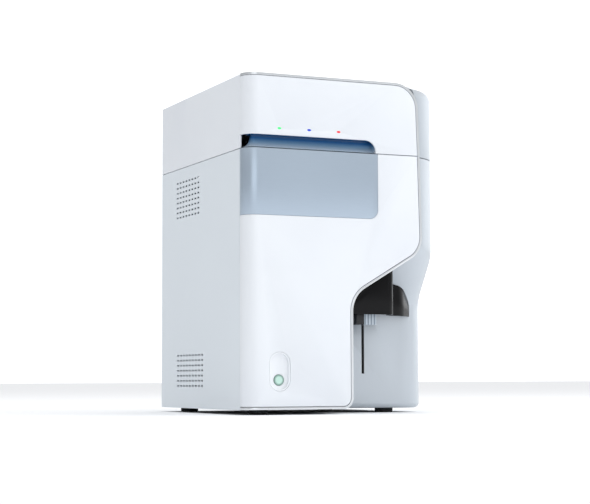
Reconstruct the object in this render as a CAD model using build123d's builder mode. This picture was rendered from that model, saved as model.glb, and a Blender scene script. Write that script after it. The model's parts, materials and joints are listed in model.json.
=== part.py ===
"""Bench flow cytometer with a hinged upper cover and an open sampling bay.

Millimetres, +Z up, front towards -Y. The origin is the bottom centre of the bounding box.
Places are given as stations: x from the left side, y from the front plane, z from the table.
"""

from build123d import *
import os

os.makedirs("parts", exist_ok=True)

# Overall size
width = 342.0
body_depth = 374.0
rear_reach = 16.0
lid_height = 111.0
foot_height = 7.0
cover_bottom = 12.0
seam_height = 391.0
seam_gap = 1.2

# Walls and clearances
wall = 3.0
sheet = 2.0
fit_gap = 0.3
running_gap = 0.05

# Front mouldings
front_depth = 24.0
corner_radius = 20.0
bay_width = 174.0
step_low = 178.0
step_high = 248.0
shoulder_inset = 56.0
seam_inset = 59.5
top_inset = 63.0
lower_bend = 12.0
bay_bend = 45.0
shoulder_bend = 35.0
upper_bend = 35.0
trim_gap = 0.8
trim_width = 3.7

# Inlay, finger grip and lamps
band_height = 98.4
band_edge = 215.0
band_bend = 14.0
band_thickness = 1.6
grip_height = 19.1
grip_edge = 212.0
grip_bend = 17.0
grip_depth = 15.5
grip_lip = 2.0
hollow_share = (0.78, 0.36)
lamp_stations = (53.3, 101.5, 149.9)
lamp_rise = 9.8
lamp_length = 6.0
lamp_width = 3.0
lamp_board_length = 124.0
lamp_board_height = 12.0
chip_pitch = 20.0
chip_count = 6
chip_size = (5.0, 3.0)
chip_height = 1.2
board_thickness = 1.6

# Silver right side
side_width = 58.0
pod_front = 8.0
pod_radius = 80.0
pod_drop = 2.0
pod_top_bend = 16.0
slope_top = 240.0
slope_bottom = 174.0
slope_blend = 14.0
blend_steps = 2
bay_depth = 103.0
bay_depth_right = 69.5
bay_wall_radius = 45.0
bottom_bend = 8.0
floor_lip = 14.0
inner_run = 60.0

# Left side, lid and rear
rear_bend = 8.0
lid_edge_bend = 2.0
rear_flange = 12.0
vent_slot = (9.0, 2.8)
vent_pitch = (13.5, 8.0)
upper_vent_y = 245.0
upper_vent_drop = 50.4
upper_vent_count = (8, 8)
lower_vent_centre = (235.0, 66.0)
lower_vent_count = (9, 7)
rib_depth = 16.0
rib_width = 2.4
rib_stations = (130.0, 255.0)

# Feet and frame
foot_radius = 14.0
foot_chamfer = 1.5
left_foot_x = 36.0
left_foot_y = 40.0
right_foot_inset = 63.0
right_foot_y = 112.0
rear_foot_inset = 42.0
tray_flange = 12.0
post_size = 16.0
post_bore = 5.0
left_post_x = 16.5
right_post_inset = 22.5
right_post_y = 150.0
deck_height = 300.0
deck_margin = 5.0

# Start button
button_x = 53.3
button_z = 50.7
button_radius = 8.0
button_face = 4.4
button_length = 9.0
button_travel = 2.5
pocket_width = 33.0
pocket_height = 57.0
pocket_x = 53.0
pocket_z = 63.0
pocket_floor = 5.0
bezel_rim = 2.0
bezel_flange = 3.0
bezel_face = 0.6
collar_wall = 2.5
button_edge = 1.0
switch_size = 18.0
switch_depth = 16.0
pin_pitch = 5.0

# Probe, hood and wash block
probe_start = 42.0
probe_y = 45.0
probe_radius = 2.0
probe_bore = 0.6
probe_tip = 60.0
probe_top = 186.0
probe_travel = 75.0
arm_bottom = 168.0
arm_height = 12.0
arm_width = 16.0
arm_nose = 8.0
probe_nut = 9.0
hood_start = 5.0
hood_front = 15.0
hood_corner_reach = 40.0
hood_back = 130.0
hood_bends = (3.0, 13.0, 8.0, 30.0, 2.0)
hood_groove_reach = 46.0
hood_groove_y = 54.0
hood_shoulder_reach = 75.0
hood_shoulder_y = 58.0
hood_wing_reach = 99.0
hood_wing_y = 80.0
hood_bottom = 149.0
hood_top = 262.0
hood_wall = 2.5
wash_bottom = 134.0
wash_height = 29.0
wash_width = 33.0
wash_depth = 27.0
wash_clearance = 0.4
tongue_shift = 4.0
tongue_width = 11.0
tongue_height = 6.0
window_reach = (30.0, 36.0)
window_front = 30.0
window_bottom = 153.0

# Probe drive
drive_back = 146.0
drive_width = 64.0
drive_flange = 6.0
drive_low = 122.0
drive_clearance = 25.0
drive_front = 106.0
rod_spacing = 44.0
rod_radius = 4.0
rod_y = 122.0
screw_radius = 3.5
carriage_bottom = 162.0
carriage_height = 28.0
carriage_depth = 20.0
carriage_width = 58.0
motor_size = 35.0
motor_length = 34.0
motor_chamfer = 2.0
motor_socket = 10.0

# Optics
bench_left = 40.0
bench_right = 236.0
bench_front = 60.0
bench_rear_inset = 44.0
bench_thickness = 12.0
bench_inset = 8.0
bench_hole = 2.1
bench_hole_pitch = 40.0
bench_hole_rows = 7
beam_x = 120.0
beam_rise = 38.0
laser_width = 44.0
laser_length = 84.0
laser_front = 76.0
laser_height = 64.0
laser_nose = 9.0
laser_nose_length = 8.0
fin_count = 7
fin_gap = 3.0
fin_height = 14.0
lens_radius = 11.0
lens_thickness = 4.0
mount_width = 34.0
mount_height = 60.0
mount_thickness = 8.0
mount_foot = 6.0
first_lens_y = 184.0
second_lens_y = 238.0
side_lens_x = 148.0
cell_y = 211.0
cell_width = 8.0
cell_height = 56.0
cell_bore = 1.0
holder_width = 30.0
holder_height = 16.0
holder_seat = 8.0
detector_radius = 15.0
detector_length = 50.0
detector_front = 254.0
detector_base = 22.0
detector_eye = 8.0
side_detector_x = 160.0
side_detector_length = 62.0

# Syringe pump
syringe_plate_y = 104.0
syringe_width = 64.0
syringe_inset = 14.0
syringe_high = 216.0
syringe_block = 16.0
syringe_front = 60.0
syringe_flange = 6.0
barrel_spacing = 40.0
barrel_y = 80.0
barrel_radius = 9.0
barrel_bore = 7.0
barrel_length = 78.0
plunger_gap = 0.08
plunger_rod = 2.5
plunger_head = 9.0
plunger_travel = 56.0
plunger_clearance = 8.0
bar_height = 12.0
bar_top = 132.0
bar_depth = 20.0

# Fluid plate
plate_width = 130.0
plate_inset = 28.0
plate_y = 236.0
manifold_height = 34.0
manifold_depth = 22.0
manifold_bottom = 136.0
manifold_margin = 8.0
valve_count = 5
valve_radius = 8.5
valve_length = 30.0
valve_cap = 4.0
valve_pitch = 22.0
chamber_count = 3
chamber_radius = 15.0
chamber_wall = 1.6
chamber_height = 46.0
chamber_bottom = 222.0
chamber_pitch = 40.0
chamber_cone = 12.0
chamber_drain = 3.0
chamber_standoff = 4.0
pump_inset = 92.0
pump_z = 66.0
pump_size = 72.0
pump_depth = 28.0
pump_cavity = 27.0
pump_back = 3.0
tube_radius = 3.2
tube_bore = 1.6
roller_count = 3
roller_radius = 6.0
roller_orbit = 13.9
rotor_plate = 3.0
rotor_plate_radius = 19.0
rotor_shaft = 3.5
pump_motor_radius = 18.0
pump_motor_length = 40.0
roller_length = 14.0
shaft_hole = 4.5
tube_end = 18.0

# Electronics and rear fittings
supply_left = 30.0
supply_right = 120.0
supply_length = 128.0
supply_rear_inset = 40.0
supply_height = 56.0
supply_slots = 9
board_x = 12.0
main_board_front = 62.0
board_rear_inset = 44.0
main_board_low = 112.0
main_board_high = 288.0
spacer_radius = 3.0
spacer_inset = 8.0
board_components = (
    (110.0, 240.0, 44.0, 44.0, 6.0),
    (180.0, 240.0, 30.0, 30.0, 4.0),
    (240.0, 250.0, 22.0, 36.0, 12.0),
    (110.0, 170.0, 60.0, 9.0, 8.0),
    (200.0, 170.0, 60.0, 9.0, 8.0),
    (256.0, 190.0, 14.0, 50.0, 10.0),
    (180.0, 130.0, 90.0, 10.0, 9.0),
)
fan_x = 110.0
fan_z = 226.0
fan_size = 80.0
fan_depth = 25.0
fan_bore = 38.0
fan_hub = 18.0
fan_hub_length = 18.0
fan_blades = 7
fan_blade_tip = 36.2
fan_blade_chord = 20.0
fan_blade_pitch = 38.0
fan_blade_thickness = 1.4
fan_spider_angle = 45.0
fan_shaft = 2.5
fan_boss = 14.0
fan_arm = 5.0
exhaust_slot = (34.0, 3.4)
exhaust_pitch = (39.0, 8.0)
exhaust_count = (2, 9)
inlet_x = 66.0
inlet_z = 40.0
inlet_body = (30.0, 23.0)
inlet_flange = (40.0, 29.0)
inlet_cavity = (24.0, 16.5)
inlet_depth = 20.0
inlet_pins = ((-7.0, -2.0), (0.0, 3.0), (7.0, -2.0))
pin_size = (2.0, 4.0)
pin_length = 12.0
data_x = 150.0
data_z = 40.0
data_body = 17.0
data_cavity = 12.0
data_depth = 12.0
data_tongue = (6.0, 3.0, 6.0)
port_insets = (146.0, 118.0, 90.0, 62.0)
port_z = 120.0
port_radius = 3.2
port_bore = 1.6
port_flange = 8.0
port_flange_thickness = 3.0
port_thread = 5.0

# Hinges and screws
left_hinge = 84.0
right_hinge_inset = 110.0
hinge_length = 52.0
hinge_pin = 2.5
knuckle_radius = 5.0
knuckle_share = 16.0
knuckle_gap = 0.4
hinge_offset = 5.5
leaf_height = 27.0
leaf_clear = 6.0
leaf_thickness = 2.0
screw_head = 3.6
screw_height = 1.6
shank_radius = 1.5
screw_length = 6.0
screw_shift = 1.5
screw_levels = (30.0, 160.0, 290.0)

# Values that follow from those above
left = -width / 2
front = -(body_depth + rear_reach) / 2
height = seam_height + lid_height
bay_edge = width - bay_width
shoulder_edge = width - shoulder_inset
seam_edge = width - seam_inset
top_edge = width - top_inset
side_joint = width - side_width
pod_top = height - pod_drop
body_bottom = foot_height
body_top = seam_height - seam_gap / 2
lid_bottom = seam_height + seam_gap / 2
trim_reach = trim_gap + trim_width
fascia_top = height - trim_reach
band_bottom = body_top - band_height
grip_top = lid_bottom + grip_height
lamp_height = grip_top + lamp_rise
upper_vent_centre = (upper_vent_y, body_top - upper_vent_drop)
panel_front = front_depth + fit_gap
tray_top = body_bottom + sheet
rear_inner = body_depth - sheet
bay_slope = (bay_depth_right - bay_depth) / bay_width
bench_bottom = deck_height + sheet
bench_top = bench_bottom + bench_thickness
bench_back = body_depth - bench_rear_inset
beam_height = bench_top + beam_rise
hinge_y = body_depth + hinge_offset
plate_back = plate_y + sheet
inner_start = bay_edge - inner_run
tray_right = bay_edge + trim_reach - wall - fit_gap
right_post_x = width - right_post_inset
rear_post_y = rear_inner - post_size / 2
post_places = (
    (left_post_x, panel_front + post_size / 2),
    (right_post_x, right_post_y),
    (left_post_x, rear_post_y),
    (right_post_x, rear_post_y),
)
foot_places = (
    (left_foot_x, left_foot_y),
    (width - right_foot_inset, right_foot_y),
    (left_foot_x, body_depth - rear_foot_inset),
    (width - right_foot_inset, body_depth - rear_foot_inset),
)
screw_places = tuple((x, z) for x in (left_post_x + screw_shift, right_post_x) for z in screw_levels)
hinge_stations = (left_hinge, width - right_hinge_inset)
port_stations = tuple(width - inset for inset in port_insets)
switch_front = button_face + button_length + button_travel + 2 * running_gap
probe_x = bay_edge + probe_start
window_left = probe_x - window_reach[0]
window_right = probe_x + window_reach[1]
drive_left = probe_x - drive_width / 2
drive_right = probe_x + drive_width / 2
syringe_right = bay_edge - syringe_inset
syringe_left = syringe_right - syringe_width
syringe_x = (syringe_left + syringe_right) / 2
drive_high = carriage_bottom + carriage_height + probe_travel + drive_clearance
syringe_low = bar_top - bar_height - plunger_travel - plunger_clearance - syringe_flange
plunger_top = syringe_high - running_gap
plate_right = width - plate_inset
plate_left = plate_right - plate_width
pump_x = width - pump_inset
supply_back = body_depth - supply_rear_inset
supply_front = supply_back - supply_length
main_board_back = body_depth - board_rear_inset
valve_start = (plate_left + plate_right) / 2 - (valve_count - 1) / 2 * valve_pitch
tube_orbit = pump_cavity - tube_radius - fit_gap
tube_y = plate_y - pump_back - rotor_plate - sheet - roller_length / 2
fan_hub_front = rear_inner - fan_depth + fit_gap
fan_shaft_front = fan_hub_front + wall


def level(z):
    """A horizontal plane at height z."""
    return Plane(origin=(left, front, z), x_dir=(1, 0, 0), z_dir=(0, 0, 1))


def facing(y):
    """An upright plane across the instrument at station y, seen from the front."""
    return Plane(origin=(left, front + y, 0), x_dir=(1, 0, 0), z_dir=(0, -1, 0))


def side(x):
    """An upright plane along the instrument at station x, seen from the right."""
    return Plane(origin=(left + x, front, 0), x_dir=(0, 1, 0), z_dir=(1, 0, 0))


def slab(x, y, z, mode=Mode.ADD):
    """A block between two stations each way, in the part that is open."""
    with Locations((left + sum(x) / 2, front + sum(y) / 2, sum(z) / 2)):
        Box(x[1] - x[0], y[1] - y[0], z[1] - z[0], mode=mode)


def bar_y(x, z, radius, y, mode=Mode.ADD):
    """A round bar along the depth between two stations."""
    with Locations(Location((left + x, front + sum(y) / 2, z), (90, 0, 0))):
        Cylinder(radius, y[1] - y[0], mode=mode)


def bar_x(y, z, radius, x, mode=Mode.ADD):
    """A round bar across the width between two stations."""
    with Locations(Location((left + sum(x) / 2, front + y, z), (0, 90, 0))):
        Cylinder(radius, x[1] - x[0], mode=mode)


def bar_z(x, y, radius, z, mode=Mode.ADD):
    """An upright round bar between two heights."""
    with Locations((left + x, front + y, sum(z) / 2)):
        Cylinder(radius, z[1] - z[0], mode=mode)


def span(middle, size):
    """The two ends of a length about its middle."""
    return (middle - size / 2, middle + size / 2)


def lower_outline(grow=0.0):
    """The front cover seen from the front, with the S-shaped edge above the bay."""
    with BuildSketch() as outline:
        with BuildLine():
            edge = FilletPolyline(
                (0, cover_bottom),
                (bay_edge, cover_bottom),
                (bay_edge, step_low),
                (shoulder_edge, step_high),
                (seam_edge, body_top),
                radius=[lower_bend, bay_bend, shoulder_bend],
            )
            Polyline(edge @ 1, (0, body_top), edge @ 0)
        make_face()
        if grow:
            offset(amount=grow)
    return outline.sketch


def upper_outline(grow=0.0):
    """The lid's front seen from the front, with its rounded upper right corner."""
    with BuildSketch() as outline:
        with BuildLine():
            edge = FilletPolyline(
                (seam_edge, lid_bottom),
                (top_edge, fascia_top),
                (0, fascia_top),
                radius=[upper_bend],
            )
            Polyline(edge @ 1, (0, lid_bottom), edge @ 0)
        make_face()
        if grow:
            offset(amount=grow)
    return outline.sketch


def strip_outline(outer, inner, low, high):
    """The satin strip outside a front moulding, from the left side to the seam."""
    with BuildSketch() as strip:
        add(outer)
        add(inner, mode=Mode.SUBTRACT)
        with Locations((width / 2, (low + high) / 2)):
            Rectangle(width, high - low, mode=Mode.INTERSECT)
    return strip.sketch


def front_block(outline, start, end, corner):
    """An outline carried back from the front, with its front-left edge rounded."""
    with BuildPart() as block:
        with BuildSketch(facing(start)):
            add(outline)
        extrude(amount=-(end - start))
        upright = block.edges().filter_by(Axis.Z).group_by(Axis.X)[0].sort_by(Axis.Y)[0]
        fillet(upright, corner)
    return block.part


def front_core(thickness):
    """What lies behind a front skin of this thickness, over the whole height."""
    with BuildSketch() as outline:
        with Locations(((thickness + width) / 2, height / 2)):
            Rectangle(width - thickness, height)
    return front_block(outline.sketch, thickness, front_depth + 1, corner_radius - thickness)


def band_outline(grow=0.0):
    """The inlay seen from the front: square at the corner, rounded at its free end."""
    with BuildSketch() as band:
        with BuildLine():
            edge = FilletPolyline(
                (0, band_bottom - grow),
                (band_edge + grow, band_bottom - grow),
                (band_edge + grow, body_top),
                radius=[band_bend + grow],
            )
            Polyline(edge @ 1, (0, body_top), edge @ 0)
        make_face()
    return band.sketch


def notch_outline():
    """The finger grip seen from the front: a notch in the lid's lower edge."""
    with BuildSketch() as notch:
        with BuildLine():
            edge = FilletPolyline(
                (grip_edge, lid_bottom - 1),
                (grip_edge, grip_top),
                (-1, grip_top),
                radius=[grip_bend],
            )
            Polyline(edge @ 1, (-1, lid_bottom - 1), edge @ 0)
        make_face()
    return notch.sketch


def grip_section():
    """The grip's liner in section: a lip, a hollow for the fingertips and a roof."""
    bottom = lid_bottom + fit_gap
    roof = grip_top + sheet
    with BuildSketch() as section:
        with BuildLine():
            hollow = ThreePointArc(
                (grip_lip, bottom),
                (grip_depth * hollow_share[0], bottom + (grip_top - bottom) * hollow_share[1]),
                (grip_depth, grip_top),
            )
            Polyline(
                hollow @ 1,
                (wall + fit_gap, grip_top),
                (wall + fit_gap, roof),
                (grip_depth + sheet, roof),
                (grip_depth + sheet, bottom),
                hollow @ 0,
            )
        make_face()
    return section.sketch


def wall_station(x):
    """How far back the bay's rear wall lies at station x."""
    return bay_depth + bay_slope * (x - bay_edge)


def plan(share, inset=0.0, start=bay_edge, rear=body_depth):
    """The silver side seen from above: the bay's wall at share 0, the wide pod at share 1."""
    near = pod_front * share + wall_station(start) * (1 - share) + inset
    far = pod_front * share + wall_station(width) * (1 - share) + inset
    bend = pod_radius * share + bay_wall_radius * (1 - share) - inset
    with BuildSketch() as outline:
        with BuildLine():
            edge = FilletPolyline(
                (start, near),
                (width - inset, far),
                (width - inset, rear),
                radius=[bend],
            )
            Polyline(edge @ 1, (start, rear), edge @ 0)
        make_face()
    return outline.sketch


def slope_share(z):
    """How far the slope has come out at height z, with a soft start and end."""
    rise = slope_top - slope_bottom
    if abs(z - slope_bottom) <= slope_blend:
        return (z - slope_bottom + slope_blend) ** 2 / (4 * slope_blend * rise)
    if abs(z - slope_top) <= slope_blend:
        return 1 - (slope_top + slope_blend - z) ** 2 / (4 * slope_blend * rise)
    return (z - slope_bottom) / rise


def right_form(inset=0.0, start=bay_edge, rear=body_depth):
    """The silver side as one form: the pod above, a slope, and the bay's wall below."""
    heights = []
    for middle in (slope_bottom, slope_top):
        for step in range(-blend_steps, blend_steps + 1):
            heights.append(middle + slope_blend * step / blend_steps)
    with BuildPart() as form:
        with BuildSketch(level(body_bottom + inset)):
            add(plan(0, inset, start, rear))
        extrude(amount=heights[0] - body_bottom)
        rim = form.edges().group_by(Axis.Z)[0].filter_by_position(Axis.X, left + start + 1, left + width)
        fillet(rim.filter_by_position(Axis.Y, front, front + rear - 1), bottom_bend - inset)
        for z in heights:
            with BuildSketch(level(z + inset)):
                add(plan(slope_share(z), inset, start, rear))
        loft(ruled=True)
        with BuildSketch(level(heights[-1] + inset)):
            add(plan(1, inset, start, rear))
        extrude(amount=seam_height - heights[-1])
    return form.part


def front_envelope(outline):
    """The space that a front moulding and its strip take up."""
    with BuildPart() as envelope:
        with BuildSketch(facing(-1)):
            add(outline)
        extrude(amount=-(panel_front + 1))
    return envelope.part


# Front cover: a tray-shaped moulding, open at the back, with a seat for the inlay
# and a stadium-shaped hole for the button's pocket.
with BuildPart() as front_cover:
    add(front_block(lower_outline(), 0, front_depth, corner_radius))
    add(front_block(lower_outline(-wall), wall, front_depth, corner_radius - wall), mode=Mode.SUBTRACT)
    with BuildPart(mode=Mode.PRIVATE) as seat:
        add(front_block(band_outline(fit_gap), 0, front_depth, corner_radius))
        add(front_core(band_thickness), mode=Mode.SUBTRACT)
    add(seat.part, mode=Mode.SUBTRACT)
    with BuildSketch(facing(0)):
        with Locations((pocket_x, pocket_z)):
            SlotOverall(pocket_height + 2 * fit_gap, pocket_width + 2 * fit_gap, rotation=90)
    extrude(amount=-wall, mode=Mode.SUBTRACT)
front_cover.part.label = "front_cover"
export_step(front_cover.part, "parts/front_cover.step")

# Inlay: a thin coloured plate that follows the front and wraps the corner.
with BuildPart() as name_band:
    add(front_block(band_outline(), 0, front_depth, corner_radius))
    add(front_core(band_thickness), mode=Mode.SUBTRACT)
name_band.part.label = "name_band"
export_step(name_band.part, "parts/name_band.step")

# Satin strip round the front cover: along the bottom, up the bay, over the shoulder.
with BuildPart() as front_trim:
    ring = strip_outline(lower_outline(trim_reach), lower_outline(trim_gap), body_bottom, body_top)
    add(front_block(ring, 0, front_depth, corner_radius))
front_trim.part.label = "front_trim"
export_step(front_trim.part, "parts/front_trim.step")

# Lid front: the same kind of moulding above the seam, with the finger grip's notch
# and three oval lamp holes.
with BuildPart() as lid_fascia:
    add(front_block(upper_outline(), 0, front_depth, corner_radius))
    add(front_block(upper_outline(-wall), wall, front_depth, corner_radius - wall), mode=Mode.SUBTRACT)
    with BuildSketch(facing(-1)):
        add(notch_outline())
    extrude(amount=-(front_depth + 2), mode=Mode.SUBTRACT)
    with BuildSketch(facing(0)):
        with Locations([(x, lamp_height) for x in lamp_stations]):
            Ellipse(lamp_length / 2 + fit_gap / 2, lamp_width / 2 + fit_gap / 2)
    extrude(amount=-wall, mode=Mode.SUBTRACT)
lid_fascia.part.label = "lid_fascia"
export_step(lid_fascia.part, "parts/lid_fascia.step")

# Satin strip round the lid's front: along the top and down the right edge.
with BuildPart() as lid_trim:
    ring = strip_outline(upper_outline(trim_reach), upper_outline(trim_gap), lid_bottom, height)
    add(front_block(ring, 0, front_depth, corner_radius))
lid_trim.part.label = "lid_trim"
export_step(lid_trim.part, "parts/lid_trim.step")

# Finger grip: one section carried along the front, round the corner and back.
with BuildPart() as grip_liner:
    with BuildSketch(side(corner_radius)):
        add(grip_section())
    extrude(amount=grip_edge - fit_gap - corner_radius)
    with BuildSketch(side(corner_radius)):
        add(grip_section())
    revolve(axis=Axis((left + corner_radius, front + corner_radius, 0), (0, 0, 1)), revolution_arc=-90)
    with BuildSketch(facing(corner_radius)):
        add(grip_section())
    extrude(amount=-(front_depth - corner_radius))
    slab(
        (grip_edge - fit_gap, grip_edge + sheet),
        (wall + fit_gap, grip_depth + sheet),
        (lid_bottom + wall + fit_gap, grip_top + sheet),
    )
grip_liner.part.label = "grip_liner"
export_step(grip_liner.part, "parts/grip_liner.step")

# Lamps: oval lenses through the lid's front, each against the board behind them.
with BuildPart() as status_lenses:
    with BuildSketch(facing(running_gap)):
        with Locations([(x, lamp_height) for x in lamp_stations]):
            Ellipse(lamp_length / 2, lamp_width / 2)
    extrude(amount=-(wall + fit_gap - running_gap))
status_lenses.part.label = "status_lenses"
export_step(status_lenses.part, "parts/status_lenses.step")

with BuildPart() as status_board:
    slab(
        span(sum(lamp_stations) / 3, lamp_board_length),
        (wall + fit_gap, wall + fit_gap + board_thickness),
        span(lamp_height, lamp_board_height),
    )
    with BuildSketch(facing(wall + fit_gap + board_thickness)):
        with GridLocations(chip_pitch, 0, chip_count, 1):
            with Locations((sum(lamp_stations) / 3, lamp_height)):
                Rectangle(*chip_size)
    extrude(amount=-chip_height)
status_board.part.label = "status_board"
export_step(status_board.part, "parts/status_board.step")

# Lid shell: top, left side and rear in one moulding, with stiffening ribs inside.
with BuildPart() as lid_shell:
    with BuildSketch(level(lid_bottom)) as shell_plan:
        with Locations((side_joint / 2 - fit_gap / 2, (panel_front + body_depth) / 2)):
            Rectangle(side_joint - fit_gap, body_depth - panel_front)
        fillet(shell_plan.vertices().group_by(Axis.Y)[-1].sort_by(Axis.X)[0], rear_bend)
    extrude(amount=height - lid_bottom)
    rim = lid_shell.faces().sort_by(Axis.Z)[-1].edges().sort_by(Axis.X)[0]
    fillet(rim, lid_edge_bend)
    slab(
        (wall, side_joint + 1),
        (panel_front - 1, body_depth - wall),
        (lid_bottom - 1, height - wall),
        Mode.SUBTRACT,
    )
    for rib in rib_stations:
        slab((wall, side_joint - wall), (rib, rib + rib_width), (height - wall - rib_depth, height - wall))
lid_shell.part.label = "lid_shell"
export_step(lid_shell.part, "parts/lid_shell.step")

# Lid's silver side: the pod's corner and right side above the seam.
with BuildPart() as lid_side:
    with BuildSketch(level(lid_bottom)):
        add(plan(1))
        with Locations(((side_joint + width) / 2, body_depth / 2)):
            Rectangle(width - side_joint, body_depth, mode=Mode.INTERSECT)
    extrude(amount=pod_top - lid_bottom)
    crown = lid_side.faces().sort_by(Axis.Z)[-1].edges().sort_by(Axis.X)[-2:]
    fillet(crown, pod_top_bend)
    with BuildSketch(level(lid_bottom - 1)):
        add(plan(1, wall, rear=body_depth - wall))
    extrude(amount=pod_top - pod_top_bend - lid_bottom + 1, mode=Mode.SUBTRACT)
    with BuildSketch(level(lid_bottom - 1)):
        add(plan(1, pod_top_bend, rear=body_depth - wall))
    extrude(amount=pod_top - wall - lid_bottom + 1, mode=Mode.SUBTRACT)
    add(front_envelope(upper_outline(trim_reach + fit_gap)), mode=Mode.SUBTRACT)
lid_side.part.label = "lid_side"
export_step(lid_side.part, "parts/lid_side.step")

# Silver right cover: pod, sloped bay ceiling, bay walls and right side in one moulding.
with BuildPart() as right_cover:
    add(right_form())
    with BuildSketch(facing(panel_front)):
        add(lower_outline(trim_reach))
    extrude(amount=-(body_depth - panel_front))
    add(right_form(wall, start=inner_start, rear=body_depth + rear_reach), mode=Mode.SUBTRACT)
    with BuildSketch(facing(panel_front - 1)):
        add(lower_outline(trim_reach - wall))
    extrude(amount=-body_depth, mode=Mode.SUBTRACT)
    with BuildSketch(level(body_bottom - 1)):
        add(plan(0, floor_lip, start=inner_start, rear=body_depth + rear_reach))
    extrude(amount=wall + 2, mode=Mode.SUBTRACT)
    add(front_envelope(lower_outline(trim_reach + fit_gap)), mode=Mode.SUBTRACT)
    slab(
        (window_left, window_right),
        (window_front, drive_front),
        (window_bottom, slope_top),
        Mode.SUBTRACT,
    )
    slab(
        (bay_edge + trim_reach - wall, width + 1),
        (0, body_depth + 1),
        (body_bottom - 1, body_top),
        Mode.INTERSECT,
    )
right_cover.part.label = "right_cover"
export_step(right_cover.part, "parts/right_cover.step")

# Left side: a bent sheet with a rounded rear corner and two fields of vent slots.
with BuildPart() as left_panel:
    with BuildSketch(level(body_bottom)) as bend:
        with Locations((rear_flange / 2, (panel_front + body_depth) / 2)):
            Rectangle(rear_flange, body_depth - panel_front)
        fillet(bend.vertices().group_by(Axis.Y)[-1].sort_by(Axis.X)[0], rear_bend)
        with BuildSketch(mode=Mode.PRIVATE) as inside:
            with Locations(((sheet + width) / 2, rear_inner / 2)):
                Rectangle(width - sheet, rear_inner)
            fillet(inside.vertices().group_by(Axis.Y)[-1].sort_by(Axis.X)[0], rear_bend - sheet)
        add(inside.sketch, mode=Mode.SUBTRACT)
    extrude(amount=body_top - body_bottom)
    with BuildSketch(side(-1)):
        with Locations(upper_vent_centre):
            with GridLocations(*vent_pitch, *upper_vent_count):
                Rectangle(*vent_slot)
        with Locations(lower_vent_centre):
            with GridLocations(*vent_pitch, *lower_vent_count):
                Rectangle(*vent_slot)
    extrude(amount=sheet + 2, mode=Mode.SUBTRACT)
left_panel.part.label = "left_panel"
export_step(left_panel.part, "parts/left_panel.step")

# Rear panel: exhaust slots at the fan, and holes for the inlet, the data port,
# the hose ports and the screws.
with BuildPart() as rear_panel:
    slab(
        (rear_flange + fit_gap, width - wall - fit_gap),
        (rear_inner, body_depth),
        (body_bottom, body_top),
    )
    slab(
        (width - floor_lip - fit_gap, width),
        (rear_inner - 1, body_depth + 1),
        (body_bottom - 1, body_bottom + bottom_bend + fit_gap),
        Mode.SUBTRACT,
    )
    slab(
        span(inlet_x, inlet_body[0] + 2 * fit_gap),
        (rear_inner - 1, body_depth + 1),
        span(inlet_z, inlet_body[1] + 2 * fit_gap),
        Mode.SUBTRACT,
    )
    slab(
        span(data_x, data_body + 2 * fit_gap),
        (rear_inner - 1, body_depth + 1),
        span(data_z, data_body + 2 * fit_gap),
        Mode.SUBTRACT,
    )
    for x in port_stations:
        bar_y(x, port_z, port_thread + running_gap, (rear_inner - 1, body_depth + 1), Mode.SUBTRACT)
    for x, z in screw_places:
        bar_y(x, z, shank_radius + running_gap, (rear_inner - 1, body_depth + 1), Mode.SUBTRACT)
    with BuildSketch(facing(rear_inner - 1)):
        with Locations((fan_x, fan_z)):
            with GridLocations(*exhaust_pitch, *exhaust_count):
                Rectangle(*exhaust_slot)
    extrude(amount=-(sheet + 2), mode=Mode.SUBTRACT)
rear_panel.part.label = "rear_panel"
export_step(rear_panel.part, "parts/rear_panel.step")

# Base tray: a bent sheet inside the covers, with flanges at the left and the rear.
with BuildPart() as base_tray:
    with BuildSketch(level(body_bottom)) as tray_plan:
        with Locations(((sheet + fit_gap + tray_right) / 2, (panel_front + rear_inner - fit_gap) / 2)):
            Rectangle(tray_right - sheet - fit_gap, rear_inner - fit_gap - panel_front)
        fillet(tray_plan.vertices().group_by(Axis.Y)[-1].sort_by(Axis.X)[0], rear_bend)
        add(plan(0, floor_lip + fit_gap, rear=rear_inner - fit_gap))
    extrude(amount=sheet)
    slab(
        (sheet + fit_gap, 2 * sheet + fit_gap),
        (panel_front + 2 * post_size, rear_post_y - post_size),
        (body_bottom, body_bottom + tray_flange),
    )
    slab(
        (left_post_x + post_size, right_post_x - post_size),
        (rear_inner - fit_gap - sheet, rear_inner - fit_gap),
        (body_bottom, body_bottom + tray_flange),
    )
base_tray.part.label = "base_tray"
export_step(base_tray.part, "parts/base_tray.step")

# Feet: four rubber discs under the tray, with a chamfer at the table.
with BuildPart() as feet:
    for x, y in foot_places:
        bar_z(x, y, foot_radius, (0, foot_height))
    chamfer(feet.edges().group_by(Axis.Z)[0], foot_chamfer)
feet.part.label = "feet"
export_step(feet.part, "parts/feet.step")

# Corner posts: bored square bars between the tray and the deck.
with BuildPart() as corner_posts:
    for x, y in post_places:
        slab(span(x, post_size), span(y, post_size), (tray_top, deck_height))
        bar_z(x, y, post_bore, (tray_top - 1, deck_height + 1), Mode.SUBTRACT)
    for x, z in screw_places:
        bar_y(x, z, shank_radius + running_gap, (rear_post_y, body_depth), Mode.SUBTRACT)
corner_posts.part.label = "corner_posts"
export_step(corner_posts.part, "parts/corner_posts.step")

# Deck: the plate on the posts that carries the optics.
with BuildPart() as deck_plate:
    with BuildSketch(level(deck_height)):
        add(plan(1, wall + deck_margin, start=deck_margin, rear=body_depth - deck_margin))
        with Locations((width / 2, panel_front + sheet + body_depth / 2)):
            Rectangle(width, body_depth, mode=Mode.INTERSECT)
    extrude(amount=sheet)
deck_plate.part.label = "deck_plate"
export_step(deck_plate.part, "parts/deck_plate.step")

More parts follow.
